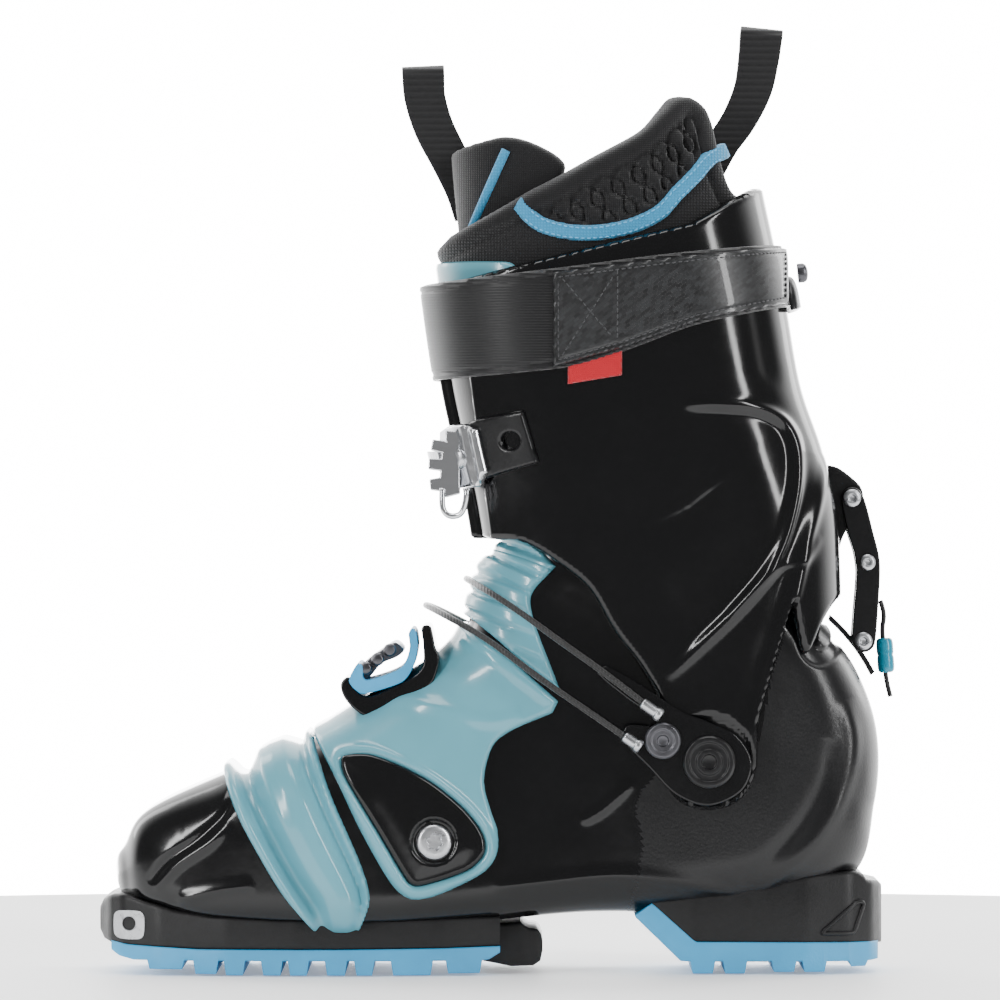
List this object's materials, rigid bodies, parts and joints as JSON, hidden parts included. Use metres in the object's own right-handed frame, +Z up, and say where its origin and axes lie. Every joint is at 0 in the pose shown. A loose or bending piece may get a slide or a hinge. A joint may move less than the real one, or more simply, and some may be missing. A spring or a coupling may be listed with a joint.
{
  "type": "ski touring boot",
  "caption": "Hinged ski touring boot, right foot: shell with flexing toe, lug sole, leaning cuff with heel lock, removable-style liner, buckles, instep cables and power strap.",
  "frame": {"origin": "on the ground under the middle of the boot", "axes": "+X from toe to heel, +Z up, -Y towards the medial (inner) side"},
  "size_m": [0.2914, 0.1227, 0.3475],
  "materials": {
    "shell_black": "polished moulded plastic",
    "frame_black": "fine textured moulded plastic",
    "cover_aqua": "semi-gloss moulded plastic",
    "sole_blue": "matte rubber",
    "steel": "brushed",
    "chrome": "polished",
    "liner_foam": "knit over foam",
    "webbing_black": "ribbed webbing",
    "strap_black": "satin webbing",
    "patch_grey": "coated twill",
    "tag_red": "woven tag",
    "channel_blue": "moulded",
    "bead_teal": "moulded",
    "cord_black": "braided cord"
  },
  "bodies": {
    "rear_foot": {"lower_shell": "shell_black", "instep_cover": "cover_aqua", "throat_cover": "cover_aqua", "flex_bellows": "cover_aqua", "side_cover_medial": "shell_black", "side_cover_lateral": "shell_black", "side_cover_screws": "steel", "ball_sole_frame": "frame_black", "ball_outsole": "sole_blue", "heel_outsole": "sole_blue", "heel_block": "frame_black", "heel_tech_fitting": "steel", "second_heel": "frame_black", "boot_board": "frame_black", "liner_foot": "liner_foam", "ankle_pivot_bolts": "steel", "pivot_cap_medial": "frame_black", "pivot_cap_lateral": "frame_black", "cable_guide_arm_medial": "shell_black", "cable_pulley_medial": "frame_black", "instep_cables": "cord_black", "cable_ferrules": "steel", "lower_buckle_base": "shell_black", "lower_buckle_channel": "channel_blue", "lower_buckle_adjuster": "steel", "cable_lever_base": "frame_black", "lock_catch": "steel"},
    "toe": {"toe_shell": "shell_black", "toe_sole_frame": "frame_black", "toe_outsole": "sole_blue", "toe_tech_fitting": "steel", "liner_toe": "liner_foam"},
    "cuff": {"cuff_shell": "shell_black", "tongue": "cover_aqua", "liner_cuff": "liner_foam", "liner_tongue": "liner_foam", "front_pull_loop": "webbing_black", "rear_pull_loop": "webbing_black", "power_strap": "strap_black", "strap_patch": "patch_grey", "strap_keeper": "frame_black", "strap_tag": "tag_red", "strap_rivet": "steel", "ladder_base": "frame_black", "cuff_ladder_plate": "chrome", "ladder_screw": "steel", "cuff_buckle_base": "frame_black", "lock_bracket": "frame_black"},
    "lower_lever": {"lower_buckle_lever": "shell_black"},
    "cable_lever": {"cable_lever": "shell_black"},
    "cuff_lever": {"cuff_buckle_lever": "chrome"},
    "cuff_bail": {"cuff_buckle_bail": "steel"},
    "lock": {"lock_arm": "frame_black", "cord_bead": "bead_teal", "release_cord": "cord_black"}
  },
  "joints": [
    {"name": "toe_flex", "type": "hinge", "parent": "rear_foot", "child": "toe", "pos_m": [-0.042, 0, 0.012], "axis": [0, 1, 0], "range_deg": [0, 18], "stiffness_Nm_per_rad": 25, "deforming": ["flex_bellows"]},
    {"name": "cuff_lean", "type": "hinge", "parent": "rear_foot", "child": "cuff", "pos_m": [0.078, 0, 0.078], "axis": [0, -1, 0], "range_deg": [-22, 10]},
    {"name": "lock_arm_swing", "type": "hinge", "parent": "cuff", "child": "lock", "pos_m": [0.1315, 0, 0.1739], "axis": [0, -1, 0], "range_deg": [0, 30]},
    {"name": "cuff_lever_open", "type": "hinge", "parent": "cuff", "child": "cuff_lever", "pos_m": [0.016, 0.057, 0.188], "axis": [0, 0, 1], "range_deg": [0, 100]},
    {"name": "cuff_bail_swing", "type": "hinge", "parent": "cuff_lever", "child": "cuff_bail", "pos_m": [0.021, 0.061, 0.188], "axis": [0, 0, 1], "range_deg": [-135, 0]},
    {"name": "cable_lever_open", "type": "hinge", "parent": "rear_foot", "child": "cable_lever", "pos_m": [0.03, 0.0507, 0.104], "axis": [0.766, 0, 0.6428], "range_deg": [0, 90]},
    {"name": "lower_lever_open", "type": "hinge", "parent": "rear_foot", "child": "lower_lever", "pos_m": [-0.04454, 0.026, 0.11259], "axis": [-0.7955, 0, -0.606], "range_deg": [0, 90]}
  ],
  "couplings": [
    {"joint": "cuff_bail_swing", "follows": "cuff_lever_open", "ratio": -1.3}
  ]
}
